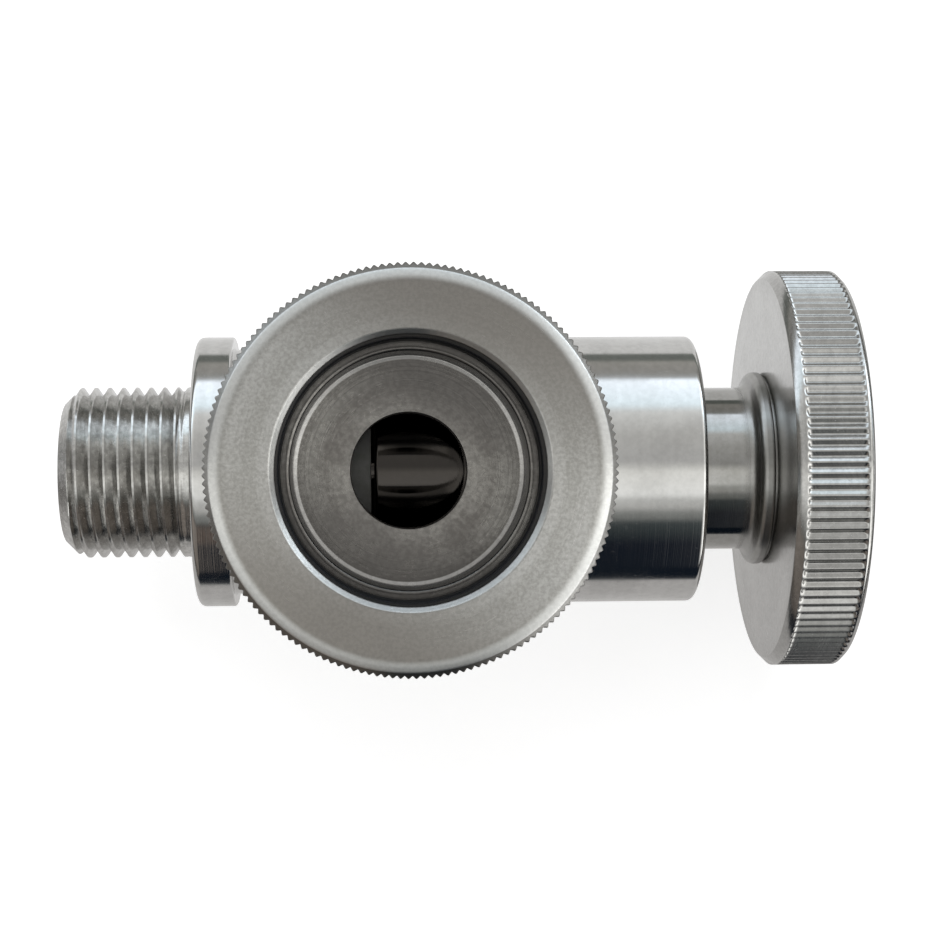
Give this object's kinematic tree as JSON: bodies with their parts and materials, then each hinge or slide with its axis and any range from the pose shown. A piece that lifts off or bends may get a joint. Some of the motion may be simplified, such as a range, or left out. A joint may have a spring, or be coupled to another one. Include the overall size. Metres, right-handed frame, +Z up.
{
  "type": "level gauge valve",
  "caption": "Screw-down stainless valve with a threaded tank spigot, an upright sight tube socket under a knurled ring nut, and a fluted handwheel.",
  "frame": {"origin": "centre of the collar's sealing face, on the axis of the tank spigot", "axes": "+X from the tank spigot towards the handwheel along the stem, +Z up along the sight tube socket"},
  "size_m": [0.0754, 0.039, 0.0485],
  "materials": {
    "polished_steel": "polished stainless steel with fine turning lines",
    "satin_steel": "satin turned stainless steel",
    "turned_steel": "turned stainless steel",
    "fastener_steel": "plain stainless fastener steel",
    "black_rubber": "matt nitrile rubber",
    "pale_seal": "matt grey-white seal plastic",
    "bush_plastic": "matt white bearing plastic"
  },
  "bodies": {
    "body": {"valve_body": "polished_steel", "tube_socket": "turned_steel", "bonnet": "polished_steel", "bonnet_seal": "bush_plastic", "gland_bush": "bush_plastic", "stem_o_ring": "black_rubber", "gland_o_ring": "black_rubber", "gland_circlip": "fastener_steel"},
    "seal_carrier": {"seal_disc": "pale_seal", "disc_carrier": "turned_steel", "disc_washer": "fastener_steel", "disc_nut": "fastener_steel", "carrier_clip": "fastener_steel"},
    "handwheel_stem": {"stem": "polished_steel", "handwheel": "satin_steel", "drive_pins": "fastener_steel", "handwheel_screw": "fastener_steel"},
    "tube_seal": {"tube_gasket": "black_rubber", "slip_washer": "fastener_steel"},
    "clamp_nut": {"ring_nut": "satin_steel"}
  },
  "joints": [
    {"name": "seal_lift", "type": "slide", "parent": "body", "child": "seal_carrier", "axis": [1, 0, 0], "range_m": [0, 0.00525]},
    {"name": "handwheel_turn", "type": "hinge", "parent": "seal_carrier", "child": "handwheel_stem", "pos_m": [0.05, 0, 0], "axis": [1, 0, 0], "range_deg": [0, 1260]},
    {"name": "ring_lift", "type": "slide", "parent": "body", "child": "tube_seal", "axis": [0, 0, 1], "range_m": [0, 0.00453]},
    {"name": "ring_nut_turn", "type": "hinge", "parent": "tube_seal", "child": "clamp_nut", "pos_m": [0.0203, 0, 0.0215], "axis": [0, 0, 1], "range_deg": [0, 900]}
  ],
  "couplings": [
    {"joint": "handwheel_turn", "follows": "seal_lift", "rad_per_m": 4188.8},
    {"joint": "ring_nut_turn", "follows": "ring_lift", "rad_per_m": 3463.7}
  ]
}
